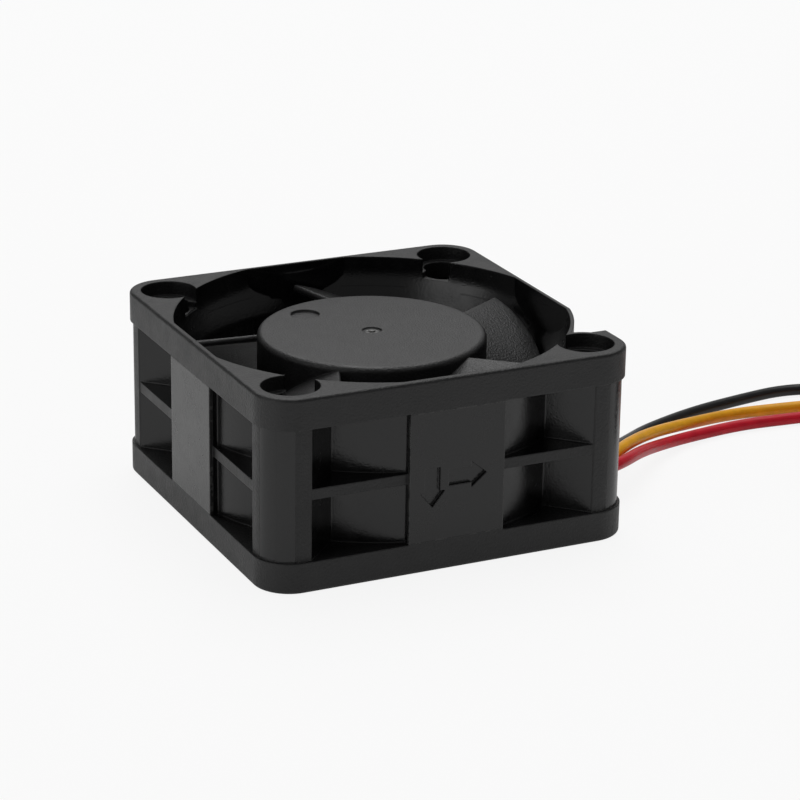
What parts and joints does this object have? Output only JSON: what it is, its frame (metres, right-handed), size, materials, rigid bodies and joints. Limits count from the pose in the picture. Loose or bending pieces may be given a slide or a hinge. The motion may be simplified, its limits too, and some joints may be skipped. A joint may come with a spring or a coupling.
{
  "type": "computer case fan",
  "caption": "Small square axial cooling fan with a moulded frame, a bladed rotor on ball bearings, a strut-mounted motor and loose leads that end in a plug",
  "frame": {"origin": "on the axle, in the plane of the outlet face", "axes": "+Z along the axle towards the air inlet, +X along the side that carries the two arrows, towards the side where the leads leave"},
  "size_m": [0.0966, 0.041, 0.02],
  "materials": {
    "housing_plastic": "glass-filled black moulding, finely pitted, satin",
    "rotor_plastic": "black moulding, satin",
    "yoke_steel": "deep-drawn zinc-plated steel",
    "magnet": "plastic-bonded ferrite, dull dark grey",
    "brass": "turned brass",
    "bearing_steel": "ground bearing steel",
    "clip_plastic": "natural nylon",
    "core_steel": "stamped silicon-steel laminations",
    "insulator_plastic": "off-white nylon",
    "magnet_wire": "enamelled copper wire, layer wound",
    "board": "green solder mask on glass-epoxy",
    "chip_plastic": "black moulding compound",
    "capacitor_ceramic": "tan ceramic with tinned ends",
    "solder": "tinned",
    "red_insulation": "smooth PVC",
    "yellow_insulation": "smooth PVC",
    "black_insulation": "smooth PVC",
    "plug_plastic": "black nylon"
  },
  "bodies": {
    "stator": {"fan_housing": "housing_plastic", "bearing_tube": "brass", "bearing_cap": "housing_plastic", "lower_bearing_outer_ring": "bearing_steel", "upper_bearing_outer_ring": "bearing_steel", "stator_core": "core_steel", "lower_insulator": "insulator_plastic", "upper_insulator": "insulator_plastic", "coil_1": "magnet_wire", "coil_2": "magnet_wire", "coil_3": "magnet_wire", "coil_4": "magnet_wire", "circuit_board": "board", "driver_chip": "chip_plastic", "hall_sensor": "chip_plastic", "capacitor": "capacitor_ceramic", "diode": "chip_plastic", "resistors": "chip_plastic", "winding_pins": "solder", "solder_joints": "solder", "red_wire": "red_insulation", "yellow_wire": "yellow_insulation", "black_wire": "black_insulation", "wire_coil": "black_insulation", "plug_housing": "plug_plastic", "plug_contacts": "solder"},
    "rotor": {"impeller": "rotor_plastic", "rotor_yoke": "yoke_steel", "ring_magnet": "magnet", "shaft_bush": "brass", "shaft": "bearing_steel", "retaining_clip": "clip_plastic", "preload_washer": "bearing_steel", "lower_bearing_inner_ring": "bearing_steel", "upper_bearing_inner_ring": "bearing_steel"},
    "lower_balls": {"lower_bearing_balls": "bearing_steel"},
    "upper_balls": {"upper_bearing_balls": "bearing_steel"}
  },
  "joints": [
    {"name": "rotor_spin", "type": "hinge", "parent": "stator", "child": "rotor", "pos_m": [0, 0, 0], "axis": [0, 0, 1], "continuous": true},
    {"name": "lower_balls_orbit", "type": "hinge", "parent": "stator", "child": "lower_balls", "pos_m": [0, 0, 0], "axis": [0, 0, 1], "continuous": true},
    {"name": "upper_balls_orbit", "type": "hinge", "parent": "stator", "child": "upper_balls", "pos_m": [0, 0, 0], "axis": [0, 0, 1], "continuous": true}
  ],
  "couplings": [
    {"joint": "lower_balls_orbit", "follows": "rotor_spin", "ratio": 0.391},
    {"joint": "upper_balls_orbit", "follows": "rotor_spin", "ratio": 0.391}
  ]
}
